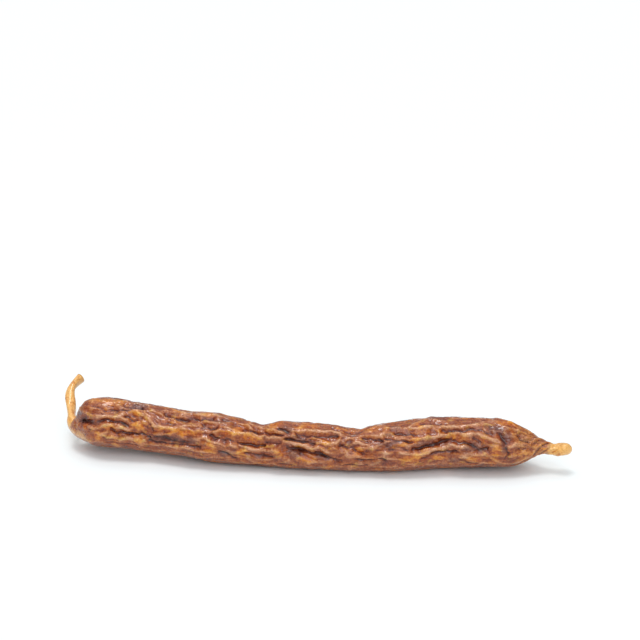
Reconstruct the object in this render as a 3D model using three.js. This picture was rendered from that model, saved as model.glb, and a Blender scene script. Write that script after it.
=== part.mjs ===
// A dried kabanos: one short link of thin smoked sausage in its natural casing, shrunk into long wrinkles.
// The casing ends in a twisted strand at the left tip and in a twisted knob at the right one.
// Millimetres. X runs along the sausage, Z is up, and the underside rests on Z = 0.
// Angles go round the sausage in degrees, from its top towards the front, which is -Y.
import * as THREE from "three";

const { smoothstep, degToRad } = THREE.MathUtils;

// ---- driving dimensions ----
const calibre = 15; // mean thickness of the dried body
const tipX = -76.6; // left tip, where the gathered casing turns up into the strand
const knobEndX = 80.1; // end of the knob on the right
const restDepth = 0.25; // how far the underside is pressed flat where it lies
const lies = { riseLeft: -38, left: -28, right: 36, riseRight: 46 }; // it lies between the inner two and rises beyond

// the middle of the sausage: [x, y, z]
const line = [
  [-76.6, 1.4, 7.9], [-74.4, 1.25, 7.9], [-72.5, 1.2, 8.4], [-70.6, 1.15, 8.9], [-66, 1.0, 9.4],
  [-58, 0.6, 8.9], [-51.5, 0.2, 8.5], [-45, -0.7, 8.3], [-38, -1.5, 7.95], [-31.5, -2.0, 7.8],
  [-25, -2.6, 7.5], [-10, -3.1, 6.9], [14, -2.7, 6.7], [26, -0.8, 7.3], [33.5, 1.1, 7.8],
  [40, 2.7, 7.85], [46, 3.0, 8.1], [58, 3.45, 8.2], [62, 3.6, 7.85], [66.4, 3.25, 8.0],
  [68.5, 3.05, 8.15], [72, 2.8, 8.0], [74.8, 2.6, 7.55], [77.8, 2.5, 7.95], [80.1, 2.4, 8.1],
];

// half thickness along it: [x, radius]
const thickness = [
  [-76.6, 2.3], [-75.4, 3.6], [-74.2, 4.8], [-72.6, 6.1], [-70.6, 7.4], [-68, 7.9], [-63.4, 7.8],
  [-58, 7.5], [-51.6, 7.35], [-45, 7.35], [-38, 7.25], [-31.7, 7.6], [-25.4, 7.3], [-19, 6.7],
  [-15.2, 6.4], [-11.5, 6.7], [-8, 7.4], [-3.3, 7.25], [0, 7.15], [6, 7.05], [11, 6.65], [16, 6.6],
  [21.4, 7.1], [27.5, 7.5], [33.6, 7.8], [39.7, 8.0], [45.8, 7.95], [52, 7.65], [58, 7.35], [61.8, 6.75],
  [64, 5.85], [66.4, 4.65], [68.3, 3.6], [70.8, 2.35], [72.4, 1.95], [73.6, 1.75], [74.9, 1.62],
  [76.4, 1.98], [77.9, 2.15], [79.3, 1.5], [80.1, 0.5],
];

// the casing where it was pulled out and twisted at the left tip
const strand = {
  line: [ // places it passes, from the free end to the gathered tip
    [-78.7, 18.4, 16.6], [-80.1, 14.9, 15.5], [-80.6, 12.9, 14.6], [-80.3, 10.6, 13.4], [-79.5, 8.6, 12.1],
    [-78.9, 6.9, 10.95], [-78.2, 4.6, 9.9], [-77.6, 2.7, 8.9],
  ],
  halfWidth: 1.65,
  halfThickness: 1.25,
  rootLength: 4, // how far the gathered casing tapers into it
  twist: 12, // degrees in each millimetre
};

// the cone of pleats behind the knob, and the knob's own twist
const cone = { from: 58, full: 69, fading: 75, until: 77, depth: 0.06, twistFrom: 68, twist: 26 };
const knob = { from: 72.5, full: 75, flatness: 0.1, twistFrom: 74, twist: 30 };

// ---- mesh density ----
const around = 64; // points in each ring
const ringStep = { strand: 1.5, leftEnd: 1.0, body: 2.5, rightEnd: 1.25 };
const turnReach = 2.5; // a ring is square to the line between the places this far on either side
const leftEndX = -68;
const rightEndX = 58;

// ---- repeatable noise ----
const fade = (t) => t * t * t * (t * (t * 6 - 15) + 10);
const mix = (a, b, t) => a + (b - a) * t;
const wrap = (i, n) => ((i % n) + n) % n;

// a number from 0 to 1 that belongs to one cell of a grid
function cellNumber(i, j, seed) {
  const s = Math.sin(i * 127.1 + j * 311.7 + seed * 74.7) * 43758.5453;
  return s - Math.floor(s);
}

// smooth noise from about -1 to 1; y repeats every `period` cells, so that it closes round the sausage
function noise(x, y, period, seed) {
  const i = Math.floor(x);
  const j = Math.floor(y);
  const slope = (di, dj) => {
    const turn = 2 * Math.PI * cellNumber(i + di, wrap(j + dj, period), seed);
    return Math.cos(turn) * (x - i - di) + Math.sin(turn) * (y - j - dj);
  };
  const u = fade(x - i);
  const v = fade(y - j);
  return 1.5 * mix(mix(slope(0, 0), slope(1, 0), u), mix(slope(0, 1), slope(1, 1), u), v);
}

// 1 on the borders of a scatter of cells, falling to 0 inside them: the network of raised skin folds
function foldNetwork(x, y, period, seed, width) {
  const i = Math.floor(x);
  const j = Math.floor(y);
  let nearest = 9;
  let second = 9;
  for (let di = -1; di <= 1; di++) {
    for (let dj = -1; dj <= 1; dj++) {
      const row = wrap(j + dj, period);
      const px = i + di + cellNumber(i + di, row, seed) - x;
      const py = j + dj + cellNumber(i + di, row, seed + 5) - y;
      const far = Math.hypot(px, py);
      second = Math.min(second, Math.max(nearest, far));
      nearest = Math.min(nearest, far);
    }
  }
  return Math.exp(0.12 - Math.hypot((second - nearest) / width, 0.12));
}

// ---- smooth lines ----
// the value at x of a smooth line through rows of [x, value, ...]
function smoothLine(rows, x, column = 1) {
  let k = 0;
  while (k < rows.length - 2 && x > rows[k + 1][0]) k++;
  const slopeAt = (n) => {
    const a = rows[Math.max(n - 1, 0)];
    const b = rows[Math.min(n + 1, rows.length - 1)];
    return (b[column] - a[column]) / (b[0] - a[0]);
  };
  const h = rows[k + 1][0] - rows[k][0];
  const t = THREE.MathUtils.clamp((x - rows[k][0]) / h, 0, 1);
  const t2 = t * t;
  const t3 = t2 * t;
  return (
    (2 * t3 - 3 * t2 + 1) * rows[k][column] + (t3 - 2 * t2 + t) * h * slopeAt(k) +
    (3 * t2 - 2 * t3) * rows[k + 1][column] + (t3 - t2) * h * slopeAt(k + 1)
  );
}

const radiusAt = (x) => smoothLine(thickness, x);

function middleAt(x) {
  const lying = smoothstep(x, lies.riseLeft, lies.left) * (1 - smoothstep(x, lies.right, lies.riseRight));
  const z = mix(smoothLine(line, x, 2), radiusAt(x) - restDepth, lying);
  return new THREE.Vector3(x, smoothLine(line, x), z);
}

// ---- the casing's relief ----
const lumps = [ // swellings of the meat under the casing
  { length: 17, round: 3, height: 0.4, seed: 3 },
  { length: 8, round: 5, height: 0.25, seed: 11 },
];
const folds = [ // the network of folds that drying leaves
  { length: 10, round: 15, height: 0.8, width: 0.42, seed: 21 },
  { length: 5.2, round: 27, height: 0.34, width: 0.42, seed: 33 },
];
const foldMiddle = 0.38; // the mean of the network, which leaves the thickness as it is
const meander = { length: 11, round: 4, along: 2.2, across: 1.5, seed: 51 };

// the deepest creases of the front: half width, depth, and where they run, as [x, degrees]
const creases = [
  [1.7, 1.7, [[-71.6, 58], [-70, 61]]],
  [0.75, 0.8, [[-66.6, 63], [-64, 61], [-61, 60], [-56.5, 63]]],
  [1.1, 1.2, [[-64.5, 86], [-60, 87], [-56, 82], [-52, 83], [-49, 88]]],
  [2.0, 1.0, [[-50, 82], [-45, 84], [-37, 86]]],
  [1.0, 1.0, [[-45, 23], [-41, 30], [-38, 22], [-31, 13]]],
  [1.1, 1.0, [[-30, 62], [-24, 65], [-20, 68], [-13, 63]]],
  [1.0, 0.8, [[-19, 91], [-15, 95], [-11, 98]]],
  [1.0, 1.0, [[-8.5, 24], [-6.5, 36]]],
  [1.6, 1.65, [[-6, 74], [-2, 79], [2, 85], [8, 100]]],
  [1.1, 0.9, [[6.5, 11], [13, 15], [16, 8]]],
  [1.0, 0.9, [[9.5, 57], [13, 62], [16, 75]]],
  [0.95, 1.5, [[21, 70], [29, 76], [33, 74], [39.5, 62], [43, 57]]],
  [0.75, 0.9, [[33.2, 103], [34.5, 94], [37.5, 89], [45, 86]]],
  [1.1, 1.0, [[43, 62], [47, 66], [50, 76], [54, 82]]],
  [1.0, 1.1, [[58, 57], [60, 64], [59.5, 76], [60, 98]]],
];

// the highest folds of the front, in the same terms
const ridges = [
  [0.8, 0.7, [[-72.3, 18], [-71, 34], [-69.5, 48], [-66.5, 54], [-60, 50], [-56.5, 56]]],
  [1.0, 0.7, [[-56, 29], [-50, 42], [-48, 53]]],
  [0.8, 0.7, [[-47, 103], [-43, 103], [-35, 97]]],
  [0.8, 0.7, [[-31, 69], [-28, 74], [-22, 76]]],
  [1.0, 0.75, [[-16, 14], [-12, 21], [-7.5, 40]]],
  [0.8, 0.7, [[-5.5, 62], [3, 70], [6, 78]]],
  [0.85, 0.85, [[26, 80], [30, 88], [36, 79], [43, 73], [48, 75]]],
  [0.8, 0.7, [[33, 27], [38, 26], [46, 32], [55, 20]]],
  [0.8, 0.7, [[37, 53], [46, 46], [51, 47], [58, 61]]],
  [0.9, 0.7, [[61, 70], [63.5, 61], [67, 63], [70, 72], [73.6, 102]]],
];

// creases laid by rule round the back and the underside: rows of them, each with gaps between its creases
const hidden = {
  rows: 11,
  firstRow: 143, // degrees
  rowStep: 18,
  swing: 9, // how far a crease wanders off its row, in degrees
  fromX: -73,
  toX: 62,
  length: [7, 20],
  gap: [1, 5],
  halfWidth: [0.55, 1.1],
  depth: [1, 1.4], // of the half width
  bends: 4,
};

function hiddenCreases() {
  const between = ([low, high], share) => mix(low, high, share);
  const made = [];
  for (let row = 0; row < hidden.rows; row++) {
    let x = hidden.fromX + between([0, 5], cellNumber(row, 1, 61));
    for (let step = 0; x < hidden.toX; step++) {
      const length = between(hidden.length, cellNumber(row, step, 62));
      const route = [];
      for (let k = 0; k <= hidden.bends; k++) {
        const swing = hidden.swing * (cellNumber(row * 9 + k, step, 63) - 0.5);
        route.push([x + (length * k) / hidden.bends, hidden.firstRow + hidden.rowStep * row + swing]);
      }
      const width = between(hidden.halfWidth, cellNumber(row, step, 64));
      made.push([width, width * between(hidden.depth, cellNumber(row, step, 65)), route]);
      x += length + between(hidden.gap, cellNumber(row, step, 66));
    }
  }
  return made;
}

// how deep the strongest of the marks is at a place on the skin
function strokeDepth(x, degrees, marks) {
  const perDegree = (Math.PI * calibre) / 360;
  let depth = 0;
  for (const [width, deep, route] of marks) {
    const reach = 3 * width + 3;
    if (x < route[0][0] - reach || x > route[route.length - 1][0] + reach) continue;
    let near = Infinity;
    for (let k = 0; k + 1 < route.length; k++) {
      const [x0, d0] = route[k];
      const [x1, d1] = route[k + 1];
      const py = (wrap(degrees - d0 + 180, 360) - 180) * perDegree;
      const by = (d1 - d0) * perDegree;
      const bx = x1 - x0;
      const t = THREE.MathUtils.clamp(((x - x0) * bx + py * by) / (bx * bx + by * by), 0, 1);
      near = Math.min(near, Math.hypot(x - x0 - t * bx, py - t * by));
    }
    const slit = 0.5 * Math.exp(-((near / (0.55 * width)) ** 1.5));
    const trough = 0.5 * Math.exp(-((near / (1.7 * width)) ** 2));
    depth = Math.max(depth, deep * (slit + trough));
  }
  return depth;
}

const lowMarks = [...creases, ...hiddenCreases()];

// heights of the skin, in mm: swellings, and wrinkles
function relief(x, turn) {
  const m = meander;
  const wanderX = m.along * noise(x / m.length, turn * m.round, m.round, m.seed);
  const wanderY = m.across * noise(x / m.length, turn * m.round, m.round, m.seed + 1);
  const bentX = x + wanderX;
  const bentTurn = turn + wanderY / (Math.PI * calibre);
  let swelling = 0;
  for (const lump of lumps)
    swelling += lump.height * noise(bentX / lump.length, bentTurn * lump.round, lump.round, lump.seed);
  const large = strokeDepth(x, turn * 360, ridges) - strokeDepth(x, turn * 360, lowMarks);
  const calm = 1 - 0.35 * Math.min(Math.abs(large) / 0.6, 1); // small folds fade beside large ones
  const past = smoothstep(x, tipX, tipX + 7);
  let small = 0;
  for (const fold of folds) {
    const patch = 0.75 + 0.5 * noise(x / 14, turn * 4, 4, fold.seed + 2);
    const network = foldNetwork(
      bentX / fold.length, bentTurn * fold.round, fold.round, fold.seed, fold.width,
    );
    small += fold.height * patch * (network - foldMiddle) * calm * past;
  }
  return { swelling, wrinkle: large + small };
}

// ---- the line on from the tip up the strand ----
// the strand's places with their distance from its free end
function strandRows() {
  const places = [...strand.line, middleAt(tipX).toArray()];
  let run = 0;
  return places.map((place, k) => {
    if (k > 0) run += Math.hypot(...place.map((value, n) => value - places[k - 1][n]));
    return [run, ...place];
  });
}

const strandPlaces = strandRows();
const strandLength = strandPlaces[strandPlaces.length - 1][0];
const freeEndX = tipX - strandLength;

// the middle at x; below tipX, x runs on up the strand
function pathAt(x) {
  if (x >= tipX) return middleAt(Math.min(x, knobEndX));
  const at = Math.max(x - freeEndX, 0);
  return new THREE.Vector3(...[1, 2, 3].map((column) => smoothLine(strandPlaces, at, column)));
}

// ---- rings, from the free end of the strand to the end of the knob ----
function makeRings() {
  const rings = [];
  const addRings = (from, to, step) => {
    const count = Math.round((to - from) / step);
    for (let k = 0; k < count; k++) rings.push({ x: from + ((to - from) * k) / count });
  };
  addRings(freeEndX, tipX, ringStep.strand);
  addRings(tipX, leftEndX, ringStep.leftEnd);
  addRings(leftEndX, rightEndX, ringStep.body);
  addRings(rightEndX, knobEndX, ringStep.rightEnd);
  rings.push({ x: knobEndX });

  // each ring's directions to its front and to its top, carried on up the strand without a twist
  const front = new THREE.Vector3(0, -1, 0);
  let next = null;
  for (const ring of [...rings].reverse()) {
    const tapering = smoothstep(tipX - ring.x, 0, strand.rootLength);
    ring.radius = ring.x < tipX ? mix(radiusAt(tipX), strand.halfWidth, tapering) : radiusAt(ring.x);
    ring.middle = pathAt(ring.x);
    const tangent = pathAt(ring.x + turnReach).sub(pathAt(ring.x - turnReach)).normalize();
    const aim = ring.x < tipX ? next.side : front;
    ring.side = aim.clone().addScaledVector(tangent, -aim.dot(tangent)).normalize();
    ring.up = new THREE.Vector3().crossVectors(ring.side, tangent);
    next = ring;
  }
  return rings;
}

// distance of the skin from the middle of its ring
function skinRadius(ring, turn) {
  const { x, radius } = ring;
  const angle = 2 * Math.PI * turn;
  let r = radius;

  // the body: swellings and wrinkles, calmer where it lies
  const full = smoothstep(radius, 1.6, 6.5);
  if (full > 0) {
    const underside = smoothstep(-Math.cos(angle), 0.25, 0.92);
    const { swelling, wrinkle } = relief(x, turn);
    r += swelling * full * (1 - 0.6 * underside) + wrinkle * full * (1 - 0.8 * underside);
  }

  // pleats that gather into the knob, and turn with the twist
  const coneShare = smoothstep(x, cone.from, cone.full) * (1 - smoothstep(x, cone.fading, cone.until));
  const wound = angle + degToRad(cone.twist) * Math.max(0, x - cone.twistFrom);
  const pleats = Math.cos(6 * wound + 0.8) + 0.6 * Math.cos(11 * wound + 2.1);
  r *= 1 + cone.depth * coneShare * pleats;
  const knobTurn = angle + degToRad(knob.twist) * (x - knob.twistFrom);
  r *= 1 + knob.flatness * smoothstep(x, knob.from, knob.full) * Math.cos(2 * knobTurn);

  // the flat twisted strand
  const ribbon = 1 - smoothstep(x, tipX - strand.rootLength, tipX + 1);
  const thin = strand.halfThickness / strand.halfWidth;
  const phi = angle + degToRad(strand.twist) * (x - tipX);
  const flat = (r * thin) / Math.hypot(thin * Math.cos(phi), Math.sin(phi));
  return mix(r, flat, ribbon);
}

// ---- the skin ----
function makeSkin() {
  const rings = makeRings();
  const positions = [];
  const faces = [];
  for (const ring of rings) {
    for (let n = 0; n < around; n++) {
      const angle = (2 * Math.PI * n) / around;
      const r = skinRadius(ring, n / around);
      const p = ring.middle.clone();
      p.addScaledVector(ring.up, r * Math.cos(angle)).addScaledVector(ring.side, r * Math.sin(angle));
      positions.push(p.x, p.y, Math.max(p.z, 0));
    }
  }
  const last = rings.length - 1;
  for (let k = 0; k < last; k++) {
    for (let n = 0; n < around; n++) {
      const a = k * around + n;
      const b = k * around + ((n + 1) % around);
      faces.push(a, b, b + around, a, b + around, a + around);
    }
  }
  const closeRing = (ringIndex, flip) => {
    const centre = positions.length / 3;
    positions.push(...rings[ringIndex].middle.toArray());
    for (let n = 0; n < around; n++) {
      const a = ringIndex * around + n;
      const b = ringIndex * around + ((n + 1) % around);
      if (flip) faces.push(centre, b, a);
      else faces.push(centre, a, b);
    }
  };
  closeRing(0, true);
  closeRing(last, false);
  const geometry = new THREE.BufferGeometry();
  geometry.setAttribute("position", new THREE.Float32BufferAttribute(positions, 3));
  geometry.setIndex(faces);
  return geometry;
}

// ---- the finished part: origin under the middle of its box ----
function makeSausage() {
  const geometry = makeSkin();
  geometry.computeBoundingBox();
  const middle = geometry.boundingBox.getCenter(new THREE.Vector3());
  geometry.translate(-middle.x, -middle.y, -geometry.boundingBox.min.z);
  geometry.computeVertexNormals();
  const casing = new THREE.MeshStandardMaterial({ color: 0x8a4a22, roughness: 0.45, metalness: 0 });
  const sausage = new THREE.Mesh(geometry, casing);
  sausage.name = "kabanos";
  return sausage;
}

const part = new THREE.Group();
part.add(makeSausage());

export default part;
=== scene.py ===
import math

import bpy
import numpy as np
from mathutils import Matrix, Vector


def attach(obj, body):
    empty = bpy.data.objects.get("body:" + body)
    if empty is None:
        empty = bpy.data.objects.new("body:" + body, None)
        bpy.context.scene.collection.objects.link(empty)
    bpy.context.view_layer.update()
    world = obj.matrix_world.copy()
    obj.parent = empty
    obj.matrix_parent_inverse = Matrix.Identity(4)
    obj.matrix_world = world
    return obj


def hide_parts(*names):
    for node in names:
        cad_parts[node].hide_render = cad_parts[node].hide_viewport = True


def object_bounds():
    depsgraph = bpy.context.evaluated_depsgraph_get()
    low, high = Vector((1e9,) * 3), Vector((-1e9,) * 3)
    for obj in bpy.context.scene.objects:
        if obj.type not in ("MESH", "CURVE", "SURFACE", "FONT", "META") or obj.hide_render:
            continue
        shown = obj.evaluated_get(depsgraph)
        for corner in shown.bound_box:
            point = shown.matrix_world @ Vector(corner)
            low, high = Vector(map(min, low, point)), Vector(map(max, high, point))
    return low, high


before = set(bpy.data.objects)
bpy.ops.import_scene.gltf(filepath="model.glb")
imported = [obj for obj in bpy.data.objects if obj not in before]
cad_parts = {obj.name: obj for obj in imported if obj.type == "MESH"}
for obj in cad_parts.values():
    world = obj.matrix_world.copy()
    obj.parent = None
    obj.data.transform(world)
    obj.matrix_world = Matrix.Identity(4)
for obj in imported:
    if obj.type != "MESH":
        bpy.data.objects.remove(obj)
cadLow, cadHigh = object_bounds()
print("packed sausage loaded")

mm = 0.001


def smoothstep(value, low, high):
    t = np.clip((value - low) / (high - low), 0.0, 1.0)
    return t * t * (3 - 2 * t)


def mix(a, b, t):
    return a + (b - a) * t


def hermite(points, x, column=1):  # a smooth line through (x, value) points
    rows = np.array(points, float)
    xs, values = rows[:, 0], rows[:, column]
    slopes = np.empty(len(xs))
    slopes[1:-1] = (values[2:] - values[:-2]) / (xs[2:] - xs[:-2])
    slopes[0] = (values[1] - values[0]) / (xs[1] - xs[0])
    slopes[-1] = (values[-1] - values[-2]) / (xs[-1] - xs[-2])
    k = np.clip(np.searchsorted(xs, x, side="left") - 1, 0, len(xs) - 2)
    h = xs[k + 1] - xs[k]
    t = np.clip((x - xs[k]) / h, 0, 1)
    return (
        (2 * t**3 - 3 * t**2 + 1) * values[k]
        + (t**3 - 2 * t**2 + t) * h * slopes[k]
        + (3 * t**2 - 2 * t**3) * values[k + 1]
        + (t**3 - t**2) * h * slopes[k + 1]
    )


def cellNumber(i, j, seed):  # a number from 0 to 1 that belongs to one cell of a grid
    s = np.sin(i * 127.1 + j * 311.7 + seed * 74.7) * 43758.5453
    return s - np.floor(s)


def noise(x, y, period, seed):  # smooth, about -1 to 1; y closes after `period` cells
    i = np.floor(x)
    j = np.floor(y)

    def slope(di, dj):
        turn = 2 * math.pi * cellNumber(i + di, np.mod(j + dj, period), seed)
        return np.cos(turn) * (x - i - di) + np.sin(turn) * (y - j - dj)

    def fade(t):
        return t * t * t * (t * (t * 6 - 15) + 10)

    u = fade(x - i)
    v = fade(y - j)
    return 1.5 * mix(mix(slope(0, 0), slope(1, 0), u), mix(slope(0, 1), slope(1, 1), u), v)


def foldNetwork(x, y, period, seed, width):  # 1 on the borders of scattered cells, 0 inside them
    i = np.floor(x)
    j = np.floor(y)
    nearest = np.full(x.shape, np.inf)
    second = np.full(x.shape, np.inf)
    for di in (-1, 0, 1):
        for dj in (-1, 0, 1):
            row = np.mod(j + dj, period)
            px = i + di + cellNumber(i + di, row, seed) - x
            py = j + dj + cellNumber(i + di, row, seed + 5) - y
            far = np.hypot(px, py)
            second = np.minimum(second, np.maximum(nearest, far))
            nearest = np.minimum(nearest, far)
    gap = (second - nearest) / width
    blunt = 0.12  # rounds the crest of a fold
    return np.exp(blunt - np.sqrt(gap * gap + blunt * blunt))


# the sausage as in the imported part, in millimetres
sausage = {
    "calibre": 15.0,  # mean thickness of the dried body
    "tipX": -76.6,  # where the gathered casing turns up into the strand
    "knobEndX": 80.1,
    "line": [  # its middle: (x, y, z)
        (-76.6, 1.4, 7.9), (-74.4, 1.25, 7.9), (-72.5, 1.2, 8.4), (-70.6, 1.15, 8.9), (-66, 1.0, 9.4),
        (-58, 0.6, 8.9), (-51.5, 0.2, 8.5), (-45, -0.7, 8.3), (-38, -1.5, 7.95), (-31.5, -2.0, 7.8),
        (-25, -2.6, 7.5), (-10, -3.1, 6.9), (14, -2.7, 6.7), (26, -0.8, 7.3), (33.5, 1.1, 7.8),
        (40, 2.7, 7.85), (46, 3.0, 8.1), (58, 3.45, 8.2), (62, 3.6, 7.85), (66.4, 3.25, 8.0),
        (68.5, 3.05, 8.15), (72, 2.8, 8.0), (74.8, 2.6, 7.55), (77.8, 2.5, 7.95), (80.1, 2.4, 8.1),
    ],
    "lies": (-38, -28, 36, 46),  # it lies flat between the inner two, and rises beyond the outer two
    "restDepth": 0.25,  # how far the underside is pressed flat where it lies
    "thickness": [  # (x, half thickness)
        (-76.6, 2.3), (-75.4, 3.6), (-74.2, 4.8), (-72.6, 6.1), (-70.6, 7.4), (-68, 7.9), (-63.4, 7.8),
        (-58, 7.5), (-51.6, 7.35), (-45, 7.35), (-38, 7.25), (-31.7, 7.6), (-25.4, 7.3), (-19, 6.7),
        (-15.2, 6.4), (-11.5, 6.7), (-8, 7.4), (-3.3, 7.25), (0, 7.15), (6, 7.05), (11, 6.65), (16, 6.6),
        (21.4, 7.1), (27.5, 7.5), (33.6, 7.8), (39.7, 8.0), (45.8, 7.95), (52, 7.65), (58, 7.35),
        (61.8, 6.75), (64, 5.85), (66.4, 4.65), (68.3, 3.6), (70.8, 2.35), (72.4, 1.95), (73.6, 1.75),
        (74.9, 1.62), (76.4, 1.98), (77.9, 2.15), (79.3, 1.5), (80.1, 0.5),
    ],
}
girth = math.pi * sausage["calibre"]

# the casing where it was pulled out and twisted at the left tip
strand = {
    "line": [  # places it passes, from the free end to the gathered tip
        (-78.7, 18.4, 16.6), (-80.1, 14.9, 15.5), (-80.6, 12.9, 14.6), (-80.3, 10.6, 13.4),
        (-79.5, 8.6, 12.1), (-78.9, 6.9, 10.95), (-78.2, 4.6, 9.9), (-77.6, 2.7, 8.9),
    ],
    "halfWidth": 1.65,
    "halfThickness": 1.25,
    "rootLength": 4.0,  # how far the gathered casing tapers into it
    "flatUntil": 1.0,  # how far past the tip its flatness ends
    "twist": 12.0,  # degrees in each millimetre
}

# the cone of pleats behind the knob, and the knob's own twist
cone = {
    "from": 58,
    "full": 69,
    "fading": 75,
    "until": 77,
    "pleats": [(6, 1.0, 0.8), (11, 0.6, 2.1)],  # how many, how high, and where they start in radians
    "depth": 0.06,  # of the half thickness
    "twistFrom": 68,
    "twist": 26,  # degrees in each millimetre
}
knob = {"from": 72.5, "full": 75, "flatness": 0.10, "twistFrom": 74, "twist": 30}

net = {  # the points of the skin
    "around": 176,
    "strandRings": 64,
    "bodyRings": 496,
    "turnReach": 2.5,  # a ring is square to the line between the places this far on either side, in mm
}


def middleAt(x):
    s = sausage
    riseLeft, lieLeft, lieRight, riseRight = s["lies"]
    lying = smoothstep(x, riseLeft, lieLeft) * (1 - smoothstep(x, lieRight, riseRight))
    z = mix(hermite(s["line"], x, 2), hermite(s["thickness"], x) - s["restDepth"], lying)
    return np.stack([x, hermite(s["line"], x), z], axis=-1)


def strandRows():  # the strand's places with their distance from its free end
    tip = middleAt(np.array([sausage["tipX"]]))[0]
    places = np.array(strand["line"] + [tuple(tip)], float)
    run = np.concatenate([[0], np.cumsum(np.linalg.norm(np.diff(places, axis=0), axis=1))])
    return np.column_stack([run, places])


def pathAt(x):  # the middle at x; below tipX, x runs on up the strand
    rows = strandRows()
    at = rows[-1, 0] - (sausage["tipX"] - x)
    onStrand = np.stack([hermite(rows, at, column) for column in (1, 2, 3)], axis=-1)
    onBody = middleAt(np.clip(x, sausage["tipX"], sausage["knobEndX"]))
    return np.where((x < sausage["tipX"])[:, None], onStrand, onBody)


def makeRings():  # places and half thicknesses of the rings, from the strand's free end on
    s = sausage
    length = strandRows()[-1, 0]
    fromTip = (1 - np.arange(net["strandRings"]) / net["strandRings"]) * length
    tipRadius = s["thickness"][0][1]
    strandRadius = mix(tipRadius, strand["halfWidth"], smoothstep(fromTip, 0, strand["rootLength"]))
    x = np.linspace(s["tipX"], s["knobEndX"], net["bodyRings"])
    places = np.concatenate([s["tipX"] - fromTip, x])
    return places, np.concatenate([strandRadius, hermite(s["thickness"], x)])


def ringFrames(place):  # for each ring, the direction to its front and to its top
    tangent = pathAt(place + net["turnReach"]) - pathAt(place - net["turnReach"])
    tangent /= np.linalg.norm(tangent, axis=1, keepdims=True)
    side = np.zeros(tangent.shape)
    forward = np.array([0.0, -1.0, 0.0])
    for k in range(len(place) - 1, -1, -1):
        aim = forward if k >= net["strandRings"] else side[k + 1]
        side[k] = aim - tangent[k] * (aim @ tangent[k])
        side[k] /= np.linalg.norm(side[k])
    return side, np.cross(side, tangent)


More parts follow.
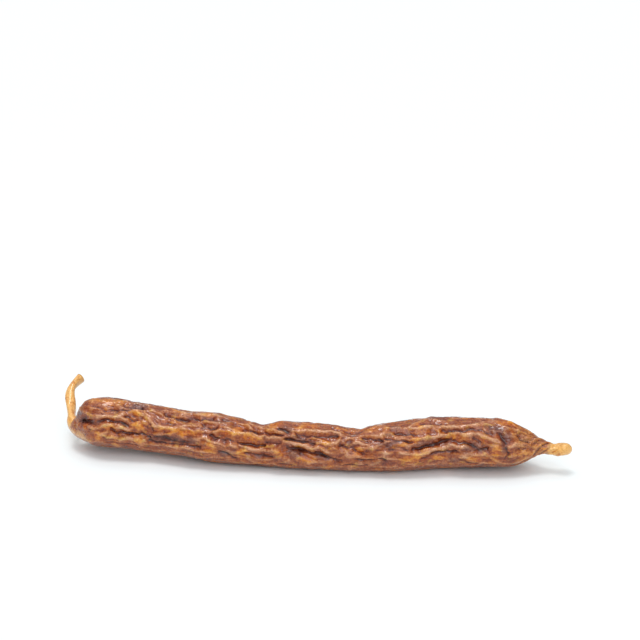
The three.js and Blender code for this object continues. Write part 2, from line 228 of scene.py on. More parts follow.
# the skin's relief in millimetres
wrinkles = {
    "lumps": [  # swellings of the meat under the casing
        {"length": 17, "round": 3, "height": 0.4, "seed": 3},
        {"length": 8, "round": 5, "height": 0.25, "seed": 11},
        {"length": 3.6, "round": 14, "height": 0.18, "seed": 19},
    ],
    "folds": [  # the network of small folds that drying leaves; a height below 0 makes slits
        {"length": 10, "round": 15, "height": 0.80, "width": 0.42, "seed": 21},
        {"length": 5.2, "round": 27, "height": 0.36, "width": 0.42, "seed": 33},
        {"length": 4.1, "round": 32, "height": -0.14, "width": 0.20, "seed": 27},
        {"length": 2.6, "round": 40, "height": 0.20, "width": 0.40, "seed": 47},
        {"length": 1.7, "round": 62, "height": 0.07, "width": 0.45, "seed": 59},
    ],
    "foldMiddle": 0.38,  # the mean of the network, which leaves the thickness as it is
    "patchy": {"length": 14, "round": 4, "low": 0.25, "high": 1.25},  # the folds are higher in some places
    "calm": (0.35, 0.6),  # the share of the small folds that goes beside a large one of this height
    "meander": {"length": 11, "round": 4, "along": 2.2, "across": 1.5, "seed": 51},
    "creaseGrowth": (1.1, 1.2),  # how much wider and deeper all the creases are than their rows say
    "ridgeGrowth": (1.05, 1.3),
    "slit": (0.6, 0.5, 1.5),  # a crease's narrow part: share of its depth, of its width, how steep it is
    "trough": (0.4, 1.7, 2.0),  # and its wide part
    # how creases and ridges waver along and around, and then how they swell and fade
    "waver": [
        {"length": 2.2, "round": 20, "size": 0.5, "seed": 71},
        {"length": 2.4, "round": 18, "size": 0.5, "seed": 72},
    ],
    "breakUp": {"length": 3.0, "round": 16, "size": 0.45, "seed": 73},
    # large creases of the shown side: half width, depth, and (x in mm, degrees from the top to the front)
    "creases": [
        (1.8, 1.9, [(-71.0, 59), (-69.7, 62)]),
        (0.5, 0.35, [(-68.2, 24), (-66.5, 33), (-64.7, 39)]),
        (0.5, 0.7, [(-64.7, 39), (-62.5, 35), (-60, 31), (-56.2, 23)]),
        (0.5, 0.5, [(-66.2, 63), (-64, 61), (-61, 60), (-56.5, 63)]),
        (0.7, 1.0, [(-61.5, 80), (-60, 86), (-56, 84), (-52, 83), (-49, 88)]),
        (1.2, 0.6, [(-50, 82), (-45, 84), (-41, 86), (-37, 86)]),
        (0.5, 0.7, [(-49, 97), (-45, 97), (-41, 94), (-37, 91), (-33, 92)]),
        (0.5, 0.45, [(-62, 114), (-58, 112), (-54, 114)]),
        (0.6, 0.6, [(-60, 14), (-57, 18), (-54, 12)]),
        (0.8, 0.9, [(-45, 23), (-41, 30), (-38, 22), (-34, 17), (-31, 13)]),
        (0.5, 0.6, [(-58, 45), (-55, 52), (-53, 50)]),
        (0.5, 0.5, [(-49, 56), (-48, 68)]),
        (0.8, 0.8, [(-33, 38), (-30, 43), (-28.5, 38)]),
        (0.9, 0.9, [(-30, 62), (-27, 61), (-24, 65), (-20, 68), (-16, 65), (-13, 63)]),
        (0.9, 0.7, [(-27.5, 10), (-24, 11)]),
        (0.5, 0.8, [(-21, 30), (-17, 27), (-13.5, 30), (-10.5, 38), (-7.5, 44)]),
        (0.7, 0.6, [(-27, 96), (-24, 101), (-22, 112)]),
        (0.8, 0.7, [(-19, 91), (-15, 95), (-11, 98)]),
        (1.0, 0.7, [(-12.5, 58), (-8, 64)]),
        (0.8, 0.9, [(-8.5, 24), (-6.5, 36)]),
        (0.7, 0.8, [(-6.5, 52), (-3, 55), (1.5, 57)]),
        (1.3, 1.5, [(-6, 74), (-2, 79), (2, 85), (5.5, 92), (8, 100)]),
        (0.6, 0.7, [(-4, 38), (1, 41), (5, 38), (8, 33)]),
        (0.9, 0.8, [(6.5, 11), (10, 10), (13, 15), (16, 8)]),
        (0.8, 0.8, [(9.5, 57), (13, 62), (16, 75)]),
        (0.5, 0.6, [(16.5, 36), (19.5, 42), (22, 50)]),
        (0.5, 0.6, [(23, 44), (26, 51), (30, 58)]),
        (0.6, 0.7, [(26, 33), (29, 40), (31, 43)]),
        (0.5, 0.5, [(20, 70), (25, 72), (29, 76)]),
        (0.7, 1.25, [(30, 76), (33, 74), (36.5, 68), (39.5, 62), (43, 57)]),
        (0.6, 0.8, [(33.2, 103), (34.5, 94), (37.5, 89), (41, 86), (45, 86)]),
        (0.5, 0.5, [(9, 112), (13, 110), (17, 112)]),
        (0.45, 0.5, [(14, 94), (18, 92), (22.5, 96)]),
        (0.9, 0.9, [(43, 62), (47, 66), (50, 76), (54, 82)]),
        (0.45, 0.4, [(40, 39), (45, 40), (50, 37), (55, 41)]),
        (0.5, 0.5, [(46, 105), (48, 115), (51, 120)]),
        (0.9, 0.45, [(57.5, 42), (58.5, 52), (59.5, 64)]),
        (0.5, 0.5, [(59.5, 76), (60.3, 88), (60, 98)]),
        (0.6, 0.5, [(50, 56), (52, 64)]),
        (0.6, 0.7, [(64, 34), (64.5, 48), (67, 52)]),
        (0.5, 0.45, [(-10, 123), (-5, 125), (-1, 130)]),
    ],
    "ridges": [  # large raised folds of the shown side, in the same terms
        (0.6, 0.5, [(-72.3, 18), (-71, 34), (-69.5, 48), (-66.5, 54), (-63, 49), (-60, 50), (-56.5, 56)]),
        (0.5, 0.5, [(-69, 74), (-67.3, 82), (-65.5, 76), (-63, 71), (-60, 75), (-56, 72)]),
        (0.5, 0.4, [(-66, 92), (-63, 98), (-58, 97), (-54, 95), (-50, 99)]),
        (0.8, 0.5, [(-56, 29), (-53, 37), (-50, 42), (-48, 53)]),
        (0.5, 0.4, [(-51, 42), (-54, 58), (-56, 62)]),
        (0.6, 0.45, [(-49, 60), (-45, 56), (-41, 55), (-36, 56), (-32.5, 52)]),
        (0.6, 0.5, [(-47, 103), (-43, 103), (-39, 99), (-35, 97)]),
        (0.8, 0.45, [(-47, 12), (-42, 10), (-37, 7), (-32, 3)]),
        (0.6, 0.5, [(-31, 69), (-28, 74), (-24.5, 77), (-22, 76)]),
        (0.45, 0.45, [
            (-28, 47), (-25, 44), (-22, 46), (-18, 38), (-14, 41), (-10, 47), (-6.5, 58), (-5.5, 70),
        ]),
        (0.5, 0.4, [(-20.5, 73), (-16, 76), (-12, 79), (-8.5, 84)]),
        (0.8, 0.55, [(-16, 14), (-12, 21), (-9, 30), (-7.5, 40)]),
        (0.6, 0.5, [(-5.5, 62), (-1, 66), (3, 70), (6, 78)]),
        (0.6, 0.5, [(-6, 32), (-1, 29), (4, 27), (9, 22)]),
        (0.7, 0.45, [(8.6, 26), (9.4, 40), (8, 52), (5, 60)]),
        (0.6, 0.45, [(14, 44), (17, 54), (19, 62), (20, 72), (24, 79)]),
        (0.65, 0.6, [(26, 80), (30, 88), (33, 86), (36, 79), (39, 75), (43, 73), (48, 75)]),
        (0.6, 0.5, [(33, 27), (38, 26), (42, 30), (46, 32), (50, 26), (55, 20)]),
        (0.6, 0.5, [(37, 53), (41, 49), (46, 46), (51, 47), (55, 54), (58, 61)]),
        (0.6, 0.4, [(46, 97), (50, 94), (54, 91)]),
        (0.7, 0.5, [(61, 70), (63.5, 61), (67, 63), (70, 72), (72.3, 88), (73.6, 102)]),
        (0.6, 0.4, [(60, 2), (63.5, 10), (64, 28), (61.5, 38)]),
    ],
}


# creases laid by rule on the side that faces away: rows of them, with gaps between a row's creases
hidden = {
    "rows": 11,
    "firstRow": 143,  # degrees
    "rowStep": 18,
    "swing": 9,  # how far a crease wanders off its row, in degrees
    "stagger": 5,  # how much later some rows start, in mm
    "fromX": -73.0,
    "toX": 62,
    "length": (7, 20),
    "gap": (1, 5),
    "halfWidth": (0.5, 1.0),
    "depth": (0.9, 1.3),  # of the half width
    "bends": 4,
}


def hiddenCreases():
    h = hidden
    made = []
    for row in range(h["rows"]):
        x = h["fromX"] + h["stagger"] * cellNumber(row, 1, 61)
        step = 0
        while x < h["toX"]:
            length = mix(*h["length"], cellNumber(row, step, 62))
            route = []
            for k in range(h["bends"] + 1):
                swing = h["swing"] * (cellNumber(row * 9 + k, step, 63) - 0.5)
                route.append((x + length * k / h["bends"], h["firstRow"] + h["rowStep"] * row + swing))
            width = mix(*h["halfWidth"], cellNumber(row, step, 64))
            made.append((width, width * mix(*h["depth"], cellNumber(row, step, 65)), route))
            x += length + mix(*h["gap"], cellNumber(row, step, 66))
            step += 1
    return made


def strokes(x, turn, marks, growth):  # how deep the strongest of the marks is at each place
    field = np.zeros(x.shape)
    perDegree = girth / 360
    for rowWidth, rowDepth, route in marks:
        width = rowWidth * growth[0]
        depth = rowDepth * growth[1]
        reach = 3 * width + 3  # how far it can spread past its ends, in mm
        rows = np.where((x[:, 0] > route[0][0] - reach) & (x[:, 0] < route[-1][0] + reach))[0]
        if len(rows) == 0:
            continue
        part = slice(rows[0], rows[-1] + 1)
        px = x[part]
        middleTurn = np.mean([deg for _, deg in route])
        py = (np.mod(turn[part] * 360 - middleTurn + 180, 360) - 180) * perDegree
        near = np.full(px.shape, np.inf)
        for (x0, d0), (x1, d1) in zip(route, route[1:]):
            ax, ay = x0, (d0 - middleTurn) * perDegree
            bx, by = x1 - x0, (d1 - d0) * perDegree
            t = np.clip(((px - ax) * bx + (py - ay) * by) / (bx * bx + by * by), 0, 1)
            near = np.minimum(near, np.hypot(px - ax - t * bx, py - ay - t * by))
        mark = 0
        for share, spread, steepness in (wrinkles["slit"], wrinkles["trough"]):
            mark += share * np.exp(-((near / (spread * width)) ** steepness))
        field[part] = np.maximum(field[part], depth * mark)
    return field


def skinNoise(x, turn, spec, nextSeed=0):  # noise over the skin; a spec says how large its blotches are
    return noise(x / spec["length"], turn * spec["round"], spec["round"], spec["seed"] + nextSeed)


def relief(x, turn):  # heights of the skin in mm: swellings, large creases and ridges, small folds
    w = wrinkles
    meander = w["meander"]
    bentX = x + meander["along"] * skinNoise(x, turn, meander)
    bentTurn = turn + meander["across"] * skinNoise(x, turn, meander, 1) / girth
    swelling = np.zeros(x.shape)
    for lump in w["lumps"]:
        swelling += lump["height"] * skinNoise(bentX, bentTurn, lump)

    along, across = w["waver"]
    markX = x + along["size"] * skinNoise(x, turn, along)
    markTurn = turn + across["size"] * skinNoise(x, turn, across) / girth
    low = strokes(markX, markTurn, w["creases"] + hiddenCreases(), w["creaseGrowth"])
    high = strokes(markX, markTurn, w["ridges"], w["ridgeGrowth"])
    low *= 1 + w["breakUp"]["size"] * skinNoise(x, turn, w["breakUp"])
    high *= 1 + w["breakUp"]["size"] * skinNoise(x, turn, w["breakUp"], 1)

    lost, besideHeight = w["calm"]
    calm = 1 - lost * np.clip((low + high) / besideHeight, 0, 1)
    p = w["patchy"]
    small = np.zeros(x.shape)
    for fold in w["folds"]:
        share = (noise(x / p["length"], turn * p["round"], p["round"], fold["seed"] + 2) + 1) / 2
        network = foldNetwork(
            bentX / fold["length"], bentTurn * fold["round"], fold["round"], fold["seed"], fold["width"]
        )
        height = fold["height"] * mix(p["low"], p["high"], share)
        small += height * (network - w["foldMiddle"]) * calm
    return swelling, high - low, small


# where the casing has another colour; spots are (x, degrees, half length, half width, strength), in mm
patches = {
    "amberAndGlow": {  # fat or lifted casing; skinLooks adds a painted glow of light through the casing in the hollows
        "seed": 81,
        "cell": 4.5,
        "share": (0.15, 0.65),  # how the patches laid by rule start and end
        "spots": [
            (-64, 8, 4.5, 1.6, 0.8), (-69.8, 64, 0.9, 1.8, 0.9), (-66.5, 96, 1.4, 1.4, 0.8),
            (-62.5, 75, 1.5, 0.8, 0.9), (-52.7, 97, 1.7, 1.0, 1.0), (-53.2, 62, 2.2, 1.3, 0.9),
            (-55, 32, 2.0, 0.8, 0.6), (-43.5, 64, 4.0, 0.9, 1.0), (-37.5, 62, 3.0, 0.9, 1.0),
            (-42, 4, 3, 1.2, 0.5), (-33, 4, 3, 1.2, 0.5), (-30, 87, 2.2, 1.1, 0.9),
            (-22.5, 33, 1.3, 1.4, 1.0), (-24.5, 47, 3.0, 0.6, 0.8), (-19, 49, 2.8, 1.0, 0.9),
            (-20, 90, 1.7, 1.6, 1.0), (-15.5, 50, 1.5, 0.9, 0.7), (-10.5, 12, 2.6, 1.6, 0.9),
            (-8.5, 85, 1.8, 1.2, 0.9),
            (0, 10, 3.0, 1.8, 0.8), (-3, 20, 2, 1, 0.6), (0, 98, 2.6, 1.2, 0.9), (5, 52, 1.5, 1.2, 0.6),
            (10, 9, 3.4, 1.0, 0.8), (14.5, 68, 1.8, 1.0, 0.9), (19.5, 8, 2.2, 1.8, 0.7),
            (23.5, 22, 1.3, 1.6, 0.6), (33, 22, 1.4, 1.4, 0.9), (31.5, 56, 1.8, 0.9, 0.9),
            (27, 64, 1.6, 0.7, 0.7), (30, 97, 3.4, 1.3, 0.9), (38, 99, 3.0, 1.0, 0.7),
            (44, 56, 1.8, 0.8, 0.6), (50, 102, 4.0, 1.0, 0.7), (52.5, 62, 2.0, 0.9, 0.9),
            (56.8, 84, 1.6, 1.8, 0.8), (60.5, 8, 3.4, 1.3, 0.9), (66, 95, 3.0, 1.6, 0.5),
            (72.4, 80, 1.6, 1.6, 0.9),
        ],
    },
    "purpleAndShade": {  # purple-brown: the listed spots sit in hollows and pockets as painted shade, the patches laid by rule darken the casing at random
        "seed": 91,
        "cell": 5.5,
        "share": (0.35, 0.8),
        "spots": [
            (-70.8, 60, 1.6, 1.5, 1.0), (-73, 30, 2.0, 2.2, 0.7), (-55, 10, 3.0, 1.2, 0.9),
            (-67, 68, 2.2, 0.7, 0.8), (-47, 90, 3.0, 1.6, 0.8), (-42, 83, 5.0, 1.3, 0.9),
            (-36, 78, 2.6, 1.2, 0.7), (-58, 58, 1.5, 0.6, 0.7), (-28.5, 22, 2.4, 1.0, 0.6),
            (-25, 98, 2.6, 1.2, 0.8), (-13, 45, 1.4, 1.0, 0.6), (-7, 29, 1.3, 1.1, 1.0),
            (-3, 50, 3.2, 1.1, 0.9), (-4, 86, 2.6, 1.6, 1.0), (1, 54, 2.0, 0.8, 0.8),
            (5, 93, 2.4, 1.0, 0.9), (13, 22, 2.0, 0.8, 0.6), (12, 46, 2.2, 0.9, 0.6),
            (23.5, 58, 3.4, 0.9, 0.8), (26, 20, 2, 1.2, 0.5), (34, 66, 4.0, 0.8, 0.8),
            (41, 66, 3.0, 0.7, 0.7), (50, 73, 3.4, 1.3, 0.9), (44, 108, 3.0, 1.0, 0.6),
            (56.5, 33, 3.0, 1.4, 0.9), (59.5, 48, 1.8, 1.2, 0.9), (59, 70, 1.2, 2.2, 0.9),
            (66, 42, 2.0, 1.4, 0.6), (20, 100, 3, 1, 0.5),
        ],
    },
    "filmAndSheen": {"seed": 101, "cell": 3.4, "share": (0.2, 0.7), "spots": []},  # a pinkish dried film; skinLooks adds a painted sheen on the crests and a pinkish band underneath
    "ochre": {"seed": 111, "cell": 2.6, "share": (0.3, 0.7), "spots": []},  # thin yellowish casing
}
patchShape = {
    "stretch": 1.3,  # how much longer than wide the patches laid by rule are
    "spotSide": (60, 0.3, 0.6),  # the side with listed spots: its middle in degrees, edge as cosines
    "amongSpots": 0.4,  # the share of the patches laid by rule that is left there
    "ragged": {"length": 2.5, "round": 16, "along": 0.9, "degrees": 6},  # how the spots' borders waver
    "spotGain": 1.35,
    "filmAndSheenShares": {"own": 0.7, "sheenOnCrests": 0.6, "below": 0.4},  # how much of the pinkish colour is the film itself, a painted sheen on the crests, and a pinkish band along the underside
    "underneath": (0.2, 0.8),  # that starts and is full here, as cosines from straight down
    "glowInHollows": (0.3, 0.4),  # how deep a hollow is before a painted amber glow, as of light through the casing, starts there, and how strong it is
}


def patchShare(x, turn, patch):  # how far each place has the colour of a patch
    s = patchShape
    seed = patch["seed"]
    around = round(girth / patch["cell"] * s["stretch"])
    share = smoothstep(noise(x / patch["cell"], turn * around, around, seed), *patch["share"])
    if patch["spots"]:
        sideMiddle, edgeFrom, edgeTo = s["spotSide"]
        spotSide = smoothstep(np.cos(2 * math.pi * turn - math.radians(sideMiddle)), edgeFrom, edgeTo)
        share *= mix(1, s["amongSpots"], spotSide)
    ragged = {**s["ragged"], "seed": seed}
    raggedX = x + ragged["along"] * skinNoise(x, turn, ragged, 1)
    raggedTurn = turn * 360 + ragged["degrees"] * skinNoise(x, turn, ragged, 2)
    perDegree = girth / 360
    for spotX, degrees, length, width, strength in patch["spots"]:
        offX = (raggedX - spotX) / length
        offAround = (np.mod(raggedTurn - degrees + 180, 360) - 180) * perDegree / width
        spot = strength * np.exp(-(offX**2) - offAround**2)
        share = np.maximum(share, s["spotGain"] * spot)
    return share


def soften(field, alongMm, aroundMm):  # blur over the skin, in millimetres
    stepX = (sausage["knobEndX"] - sausage["tipX"]) / net["bodyRings"]
    stepAround = girth / net["around"]
    waveX = np.fft.fftfreq(field.shape[0], stepX)[:, None]
    waveAround = np.fft.fftfreq(field.shape[1], stepAround)[None, :]
    keep = np.exp(-2 * math.pi**2 * ((waveX * alongMm) ** 2 + (waveAround * aroundMm) ** 2))
    return np.fft.ifft2(np.fft.fft2(field) * keep).real


# where the skin is calmer than its rows say
calmer = {
    "thickness": (1.6, 6.5),  # half thicknesses at which the wrinkles start and are full
    "underside": (0.25, 0.92),  # from the side down to where it lies, as cosines from straight down
    "wrinklesLostBelow": 0.8,
    "swellingsLostBelow": 0.6,
    "tipLength": 7.0,  # the small folds grow over this length from the gathered tip
    "strip": (20, 0.93, 0.5),  # and fade along a strip: degrees behind the top, edge as a cosine, share lost
}


def addWrinkles(x, turns, r):  # the body's skin, and the wrinkles by themselves
    c = calmer
    angle = 2 * math.pi * turns
    full = smoothstep(r, *c["thickness"])
    underside = smoothstep(-np.cos(angle), *c["underside"])
    behind, edge, lost = c["strip"]
    strip = smoothstep(np.cos(angle + math.radians(behind)), edge, 1.0)
    swelling, large, small = relief(x, turns)
    small = small * smoothstep(x, sausage["tipX"], sausage["tipX"] + c["tipLength"]) * (1 - lost * strip)
    wrinkle = (large + small) * full * (1 - c["wrinklesLostBelow"] * underside)
    swelling = swelling * full * (1 - c["swellingsLostBelow"] * underside)
    return r + swelling + wrinkle, wrinkle


def gatherEnds(x, angle, r):  # the pleats that wind into the knob, the knob's twist, the flat strand
    coneShare = smoothstep(x, cone["from"], cone["full"])
    coneShare = coneShare * (1 - smoothstep(x, cone["fading"], cone["until"]))
    wound = angle + np.maximum(0, x - cone["twistFrom"]) * math.radians(cone["twist"])
    waves = [height * np.cos(count * wound + start) for count, height, start in cone["pleats"]]
    pleats = coneShare * sum(waves)
    r = r * (1 + cone["depth"] * pleats)
    knobShare = smoothstep(x, knob["from"], knob["full"])
    knobTurn = angle + math.radians(knob["twist"]) * (x - knob["twistFrom"])
    r = r * (1 + knob["flatness"] * knobShare * np.cos(2 * knobTurn))
    flatUntil = sausage["tipX"] + strand["flatUntil"]
    ribbon = 1 - smoothstep(x, sausage["tipX"] - strand["rootLength"], flatUntil)
    thin = strand["halfThickness"] / strand["halfWidth"]
    phi = angle + math.radians(strand["twist"]) * (x - sausage["tipX"])
    flat = r * thin / np.sqrt((thin * np.cos(phi)) ** 2 + np.sin(phi) ** 2)
    return mix(r, flat, ribbon), pleats


# where the casing is dry and bare, without meat behind it
bare = {
    "strand": (-1.6, 0.6),  # it starts and is full at these distances up the strand from the tip, in mm
    "knob": (70.5, 75.5),
    "cone": (54, 66, 0.31),  # the cone's casing is only thinner than the body's
    # the strand's casing runs on round the left tip
    "lip": {"pastTip": 2.5, "halfLength": 4.2, "degrees": 108, "halfWidth": 3.6, "share": 0.62},
}


def bareShare(x, angle):
    lip = bare["lip"]
    along = (x - sausage["tipX"] - lip["pastTip"]) / lip["halfLength"]
    across = (angle - math.radians(lip["degrees"])) * sausage["calibre"] / 2 / lip["halfWidth"]
    coneFrom, coneTo, coneShare = bare["cone"]
    share = np.maximum(smoothstep(sausage["tipX"] - x, *bare["strand"]), smoothstep(x, *bare["knob"]))
    share = np.maximum(share, lip["share"] * np.exp(-(along**2) - across**2))
    return np.maximum(share, coneShare * smoothstep(x, coneFrom, coneTo))


# what the wrinkles tell the material: each height is measured against a softer copy of the skin
heights = {
    "fine": (0.12, 0.10),  # softened by so many mm along and around the sausage
    "local": (0.5, 0.4),
    "wide": (1.6, 1.1),
    "rim": (0.10, -2.5, 1.4),  # the height in mm that counts as 1, and the limits
    "crest": (0.30, -1.2, 1.0),
    "mound": 0.5,
    "pleats": 0.2,
}


def skinLooks(x, turns, wrinkle):
    h = heights
    angle = 2 * math.pi * turns
    fine, local, wide = [soften(wrinkle, *h[label]) for label in ("fine", "local", "wide")]
    looks = {"mound": wide / h["mound"], "dry": bareShare(x, angle)}
    for label, height in (("rim", fine - local), ("crest", local - wide)):
        unit, lowest, highest = h[label]
        looks[label] = np.clip(height / unit, lowest, highest)
    for label, patch in patches.items():
        looks[label] = patchShare(x, turns, patch)
    # pinkish colour: the film laid at random, a painted sheen on the crests, and a band along the underside
    filmAndSheenShares = patchShape["filmAndSheenShares"]
    looks["filmAndSheen"] = filmAndSheenShares["own"] * looks["filmAndSheen"] + filmAndSheenShares["sheenOnCrests"] * np.clip(looks["crest"], 0, 1)
    looks["filmAndSheen"] += filmAndSheenShares["below"] * smoothstep(-np.cos(angle), *patchShape["underneath"])
    # a painted amber glow, as of light shining through the casing, in the hollows
    fromDepth, hollowGlow = patchShape["glowInHollows"]
    hollow = np.clip(-looks["crest"] - fromDepth, 0, 1)
    looks["amberAndGlow"] = looks["amberAndGlow"] + hollowGlow * hollow
    return looks


def skinPoints():
    place, radius = makeRings()
    middle = pathAt(place)
    side, up = ringFrames(place)
    turn = np.arange(net["around"]) / net["around"]
    x, turns = np.meshgrid(place, turn, indexing="ij")
    angle = 2 * math.pi * turns
    r = np.repeat(radius[:, None], net["around"], axis=1)
    r, wrinkle = addWrinkles(x, turns, r)
    r, pleats = gatherEnds(x, angle, r)
    points = (
        middle[:, None, :]
        + up[:, None, :] * (r * np.cos(angle))[:, :, None]
        + side[:, None, :] * (r * np.sin(angle))[:, :, None]
    )
    points[:, :, 2] = np.maximum(points[:, :, 2], 0)  # pressed flat where it lies
    return points, middle, skinLooks(x, turns, wrinkle + heights["pleats"] * pleats)


def makeSkin(name):
    points, middle, looks = skinPoints()
    rings, around = points.shape[:2]
    verts = np.concatenate([points.reshape(-1, 3), middle[:1], middle[-1:]])
    cadMiddle = np.array((cadLow + cadHigh) / 2) / mm
    shift = cadMiddle[:2] - (verts.min(0)[:2] + verts.max(0)[:2]) / 2
    verts[:, :2] += shift
    here = np.arange(around)
    beside = (here + 1) % around
    ring = np.arange(rings - 1)[:, None] * around
    corners = [ring + here, ring + beside, ring + beside + around, ring + here + around]
    quads = np.stack(corners, axis=-1).reshape(-1, 4)
    firstCap = np.stack([np.full(around, rings * around), beside, here], axis=-1)
    lastCap = np.stack([np.full(around, rings * around + 1), here, beside], axis=-1)
    lastCap[:, 1:] += (rings - 1) * around
    faces = quads.tolist() + firstCap.tolist() + lastCap.tolist()
    mesh = bpy.data.meshes.new(name)
    mesh.from_pydata((verts * mm).tolist(), [], faces)
    mesh.update()
    mesh.polygons.foreach_set("use_smooth", np.ones(len(mesh.polygons), bool))
    for label, values in looks.items():
        data = np.concatenate([values.reshape(-1), values[0, :1], values[-1, :1]]).astype(np.float32)
        mesh.attributes.new(label, "FLOAT", "POINT").data.foreach_set("value", data)
    piece = bpy.data.objects.new(name, mesh)
    bpy.context.scene.collection.objects.link(piece)
    return piece, shift


def linear(hexColour):  # sRGB hex to the linear values that shaders take
    channels = [int(hexColour[k : k + 2], 16) / 255 for k in (1, 3, 5)]
    return tuple(c / 12.92 if c <= 0.04045 else ((c + 0.055) / 1.055) ** 2.4 for c in channels) + (1.0,)


# one node, its settings and what feeds it; a socket goes by its name or its number
def addNode(tree, kind, settings=None, links=None):
    node = tree.nodes.new(kind)
    for name, value in (settings or {}).items():
        if name == "stops":  # a ramp's colours, from its dark end on
            for position, colour in value:
                node.color_ramp.elements.new(position).color = linear(colour)
            node.color_ramp.elements.remove(node.color_ramp.elements[0])
            node.color_ramp.elements.remove(node.color_ramp.elements[-1])
        elif hasattr(node, str(name)):
            setattr(node, name, value)
        else:
            node.inputs[name].default_value = value
    for name, source in (links or {}).items():
        tree.links.new(source, node.inputs[name])
    return node


# smoked sheep casing, shrunk on the meat: thin and translucent, brown where it lies on lean meat, amber over
# fat, pinkish where it dried as a film, with a greasy half gloss; painted shade in its creases, painted
# highlights and a pinkish painted sheen on its crests, and a painted amber glow in its hollows
casing = {
    # colours from dark to light; by height the dark end is painted shade in the deep creases and the light
    # end a painted highlight on the crests
    "lean": [
        (0.05, "#4e1100"), (0.25, "#7b2c03"), (0.45, "#984713"), (0.65, "#b16329"), (0.95, "#d6955c"),
    ],
    "amberAndGlow": [
        (0.05, "#742802"), (0.30, "#b04e03"), (0.50, "#ca720a"), (0.70, "#da8a22"), (0.95, "#eaae50"),
    ],
    "ochre": [(0.05, "#4e2002"), (0.30, "#97560a"), (0.55, "#c28426"), (0.95, "#e4b95c")],
    "filmAndSheen": [(0.05, "#4a1405"), (0.30, "#8a3e1c"), (0.55, "#bc7a54"), (0.95, "#e2b08c")],
    "purpleAndShade": [(0.05, "#280804"), (0.30, "#52211a"), (0.60, "#764334"), (0.95, "#a26e58")],
    "dried": [(0.30, "#cc7420"), (0.46, "#f0b260"), (0.80, "#f6c070")],
    "toneMiddle": -0.02,
    "toneAndShadeFrom": {  # what makes a place lighter or darker, and by how much: crest, rim, mound and microFold are painted shade in the hollows and painted highlights on the raised parts, mottle and fleck are random tone
        "crest": 0.14, "rim": 0.17, "mound": 0.07, "mottle": 0.34, "fleck": 0.50, "microFold": 0.06,
    },
    "cover": {"filmAndSheen": 0.65, "ochre": 0.55, "amberAndGlow": 0.9, "purpleAndShade": 0.7},  # how strongly each patch covers
    "patchFray": (0.9, 0.6, 1.2),  # how ragged its border is, and where the border starts and ends
    "driedFray": (0.5, 0.5, 1.0),
    "driedCrestHighlight": 0.25,  # painted highlight: how much lighter the pleats of the dried casing are on top
    "mottle": (2.2, 3.0),  # size of the blotches in mm, and how much finer detail they have
    "fleck": (0.55, 1.0),  # the smallest visible flecks
    "edge": (0.9, 2.0),  # the tatters of a patch's border
    "grain": 0.6,  # how strong the finer detail is
    "microFold": 1.15,  # spacing of the finest folds, in mm
    "microWidth": 0.3,  # their width, as a share of the spacing
    "microBend": (2.2, 1.6),  # they bend every so many mm, by so many mm
    "stretch": (0.62, 1.0, 1.0),  # and run along the sausage
    "bumpFrom": {"microFold": 0.8, "fleck": 0.7, "mottle": 0.9},
    "bumpHeight": 0.20,  # in mm
    "roughness": (0.22, 0.42),
    "glossBand": (0.3, 0.7),  # values of the noise between which smooth turns to rough
    "ior": 1.33,
    "grease": (0.8, 0.11),  # weight and roughness of the film of fat
}


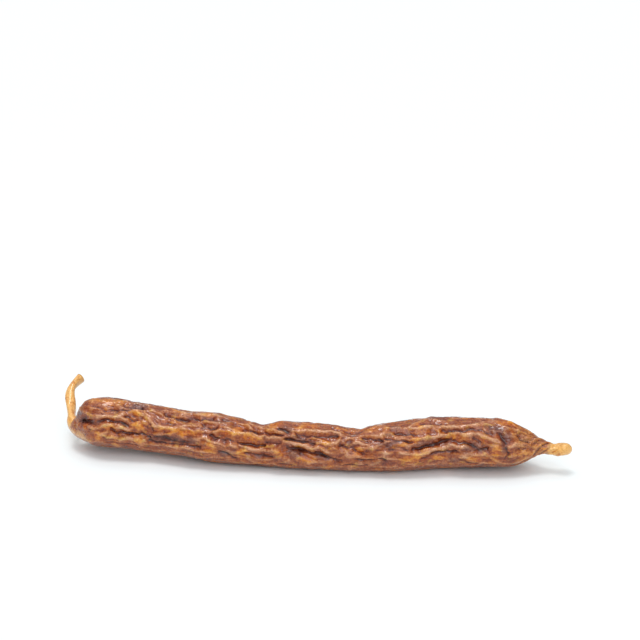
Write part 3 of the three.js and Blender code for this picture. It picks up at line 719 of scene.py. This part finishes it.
def smokedSheepCasing():
    c = casing
    material = bpy.data.materials.new("smokedSheepCasing")
    material.use_nodes = True
    tree = material.node_tree
    shader = tree.nodes["Principled BSDF"]
    shader.inputs["IOR"].default_value = c["ior"]
    shader.inputs["Coat Weight"].default_value = c["grease"][0]
    shader.inputs["Coat Roughness"].default_value = c["grease"][1]
    place = addNode(tree, "ShaderNodeTexCoord").outputs["Object"]

    source = {}
    for label in ("rim", "crest", "mound", "dry", "amberAndGlow", "ochre", "filmAndSheen", "purpleAndShade"):
        source[label] = addNode(tree, "ShaderNodeAttribute", {"attribute_name": label}).outputs["Fac"]
    for label in ("mottle", "fleck", "edge"):
        size, detail = c[label]
        settings = {"Scale": 1 / (size * mm), "Detail": detail, "Roughness": c["grain"]}
        source[label] = addNode(tree, "ShaderNodeTexNoise", settings, {"Vector": place}).outputs["Fac"]

    # the finest folds: a net of raised lines, bent by noise and drawn out along the sausage
    bendEvery, bendBy = c["microBend"]
    bend = addNode(tree, "ShaderNodeTexNoise", {"Scale": 1 / (bendEvery * mm), "Detail": 2.0},
                   {"Vector": place})
    bent = addNode(tree, "ShaderNodeVectorMath", {"operation": "MULTIPLY_ADD", 1: (bendBy * mm,) * 3},
                   {0: bend.outputs["Color"], 2: place})
    drawnOut = addNode(tree, "ShaderNodeVectorMath", {"operation": "MULTIPLY", 1: c["stretch"]},
                       {0: bent.outputs["Vector"]})
    cells = addNode(tree, "ShaderNodeTexVoronoi",
                    {"feature": "DISTANCE_TO_EDGE", "Scale": 1 / (c["microFold"] * mm)},
                    {"Vector": drawnOut.outputs["Vector"]})
    falling = {"interpolation_type": "SMOOTHSTEP", "From Max": c["microWidth"], "To Min": 1.0, "To Max": 0.0}
    lines = addNode(tree, "ShaderNodeMapRange", falling, {"Value": cells.outputs["Distance"]})
    source["microFold"] = lines.outputs["Result"]

    # brown by height: painted shade in the creases and painted highlights on the crests, rims and swellings,
    # with random tone from the mottle and flecks
    toneMiddle = addNode(tree, "ShaderNodeValue")
    toneMiddle.outputs["Value"].default_value = c["toneMiddle"]
    tone = toneMiddle.outputs["Value"]
    for label, gain in c["toneAndShadeFrom"].items():
        step = addNode(tree, "ShaderNodeMath", {"operation": "MULTIPLY_ADD", 1: gain},
                       {0: source[label], 2: tone})
        tone = step.outputs["Value"]
    colour = addNode(tree, "ShaderNodeValToRGB", {"stops": c["lean"]}, {"Fac": tone}).outputs["Color"]

    # patches with frayed borders
    ragged, borderFrom, borderTo = c["patchFray"]
    for label, cover in c["cover"].items():
        frayed = addNode(tree, "ShaderNodeMath", {"operation": "MULTIPLY_ADD", 1: ragged},
                         {0: source["edge"], 2: source[label]})
        share = addNode(tree, "ShaderNodeMapRange",
                        {"From Min": borderFrom, "From Max": borderTo, "To Max": cover},
                        {"Value": frayed.outputs["Value"]})
        patch = addNode(tree, "ShaderNodeValToRGB", {"stops": c[label]}, {"Fac": tone})
        layer = addNode(tree, "ShaderNodeMix", {"data_type": "RGBA"},
                        {"Factor": share.outputs["Result"], "A": colour, "B": patch.outputs["Color"]})
        colour = layer.outputs["Result"]

    # bare dried casing at the strand and the knob
    ragged, borderFrom, borderTo = c["driedFray"]
    # the dried casing's own colour, lighter on top of its pleats as a painted highlight
    driedTone = addNode(tree, "ShaderNodeMath", {"operation": "MULTIPLY_ADD", 1: c["driedCrestHighlight"]},
                        {0: source["crest"], 2: source["mottle"]})
    dried = addNode(tree, "ShaderNodeValToRGB", {"stops": c["dried"]}, {"Fac": driedTone.outputs["Value"]})
    frayed = addNode(tree, "ShaderNodeMath", {"operation": "MULTIPLY_ADD", 1: ragged},
                     {0: source["edge"], 2: source["dry"]})
    share = addNode(tree, "ShaderNodeMapRange", {"From Min": borderFrom, "From Max": borderTo},
                    {"Value": frayed.outputs["Value"]})
    layer = addNode(tree, "ShaderNodeMix", {"data_type": "RGBA"},
                    {"Factor": share.outputs["Result"], "A": colour, "B": dried.outputs["Color"]})
    tree.links.new(layer.outputs["Result"], shader.inputs["Base Color"])

    # greasier and duller spots
    smooth, rough = c["roughness"]
    bandFrom, bandTo = c["glossBand"]
    gloss = addNode(tree, "ShaderNodeMapRange",
                    {"From Min": bandFrom, "From Max": bandTo, "To Min": smooth, "To Max": rough},
                    {"Value": source["edge"]})
    tree.links.new(gloss.outputs["Result"], shader.inputs["Roughness"])

    # relief too fine for the mesh
    height = None
    for label, gain in c["bumpFrom"].items():
        links = {0: source[label]} if height is None else {0: source[label], 2: height}
        step = addNode(tree, "ShaderNodeMath", {"operation": "MULTIPLY_ADD", 1: gain, 2: 0.0}, links)
        height = step.outputs["Value"]
    bump = addNode(tree, "ShaderNodeBump", {"Distance": c["bumpHeight"] * mm}, {"Height": height})
    tree.links.new(bump.outputs["Normal"], shader.inputs["Normal"])
    return material


view = {
    "photoSize": 640,  # pixels
    "lens": 85.0,  # mm, as the sensor's width
    "sensor": 36.0,
    "elevation": 25.0,  # how steeply the photo looks down on the sausage, in degrees
    "turn": 7.35,  # how far the camera stands to the right of straight ahead, in degrees
    "millimetresPerPixel": 0.3125,  # at the sausage
    "aimPixel": (312.0, 440.0),  # where the photo shows the sausage's x = 0, y = 0
    "aimHeight": 7.5,  # at this height in mm
}


def placeCamera(aimPoint):
    data = bpy.data.cameras.new("camera")
    data.lens = view["lens"]
    data.sensor_width = view["sensor"]
    camera = bpy.data.objects.new("camera", data)
    bpy.context.scene.collection.objects.link(camera)
    bpy.context.scene.camera = camera
    half = view["photoSize"] / 2
    focal = view["lens"] / view["sensor"] * view["photoSize"]  # in pixels
    distance = focal * view["millimetresPerPixel"] * mm
    px, py = view["aimPixel"]
    pitch = math.radians(view["elevation"]) - math.atan((py - half) / focal)
    turn = math.radians(view["turn"])
    right = Vector((math.cos(turn), math.sin(turn), 0))
    ahead = Vector((-math.sin(turn), math.cos(turn), 0))
    forward = ahead * math.cos(pitch) - Vector((0, 0, math.sin(pitch)))
    up = right.cross(forward)
    ray = (forward * focal + right * (px - half) - up * (py - half)).normalized()
    camera.location = aimPoint - ray * distance
    camera.rotation_euler = Matrix((right, up, -forward)).transposed().to_euler()


# a white tent: light from all round, a softbox and a lamp above it, and a softbox at the camera's side
studio = {
    "tent": ("#f1f6f9", 0.45),  # colour, strength
    "table": ("#f2f7f8", 0.7),  # colour, roughness
    "tableReach": 30,  # metres to each side
    "lights": [  # name, colour, strength, how wide it looks in degrees, where it shines from
        ("topSoftbox", "#ffffff", 1.0, 70, (-0.12, 0.10, 1.0)),
        ("topLamp", "#ffffff", 0.8, 18, (-0.12, 0.0, 1.0)),
        ("frontSoftbox", "#f6faff", 1.0, 45, (0.25, -1.0, 0.95)),
    ],
}


def lightStudio():
    world = bpy.data.worlds.new("tent")
    bpy.context.scene.world = world
    world.use_nodes = True
    colour, strength = studio["tent"]
    background = world.node_tree.nodes["Background"]
    background.inputs["Color"].default_value = linear(colour)
    background.inputs["Strength"].default_value = strength
    for name, shade, energy, spread, direction in studio["lights"]:
        light = bpy.data.lights.new(name, "SUN")
        light.color = linear(shade)[:3]
        light.energy = energy
        light.angle = math.radians(spread)
        lamp = bpy.data.objects.new(name, light)
        lamp.location = direction
        lamp.rotation_euler = (-Vector(direction)).to_track_quat("-Z", "Y").to_euler()
        bpy.context.scene.collection.objects.link(lamp)


def layTable():
    reach = studio["tableReach"]
    mesh = bpy.data.meshes.new("table")
    corners = [(-reach, -reach, 0), (reach, -reach, 0), (reach, reach, 0), (-reach, reach, 0)]
    mesh.from_pydata(corners, [], [(0, 1, 2, 3)])
    board = bpy.data.objects.new("table", mesh)
    bpy.context.scene.collection.objects.link(board)
    laminate = bpy.data.materials.new("whiteLaminate")
    laminate.use_nodes = True
    colour, roughness = studio["table"]
    shader = laminate.node_tree.nodes["Principled BSDF"]
    shader.inputs["Base Color"].default_value = linear(colour)
    shader.inputs["Roughness"].default_value = roughness
    mesh.materials.append(laminate)


skin, shift = makeSkin("kabanos_skin")
skin.data.materials.append(smokedSheepCasing())
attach(skin, "root")
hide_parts("kabanos")
print("skin made:", len(skin.data.polygons), "faces")

placeCamera(Vector((shift[0], shift[1], view["aimHeight"])) * mm)
print("camera placed")

lightStudio()
layTable()
bpy.context.scene.view_settings.view_transform = "Standard"
print("table and lights ready")
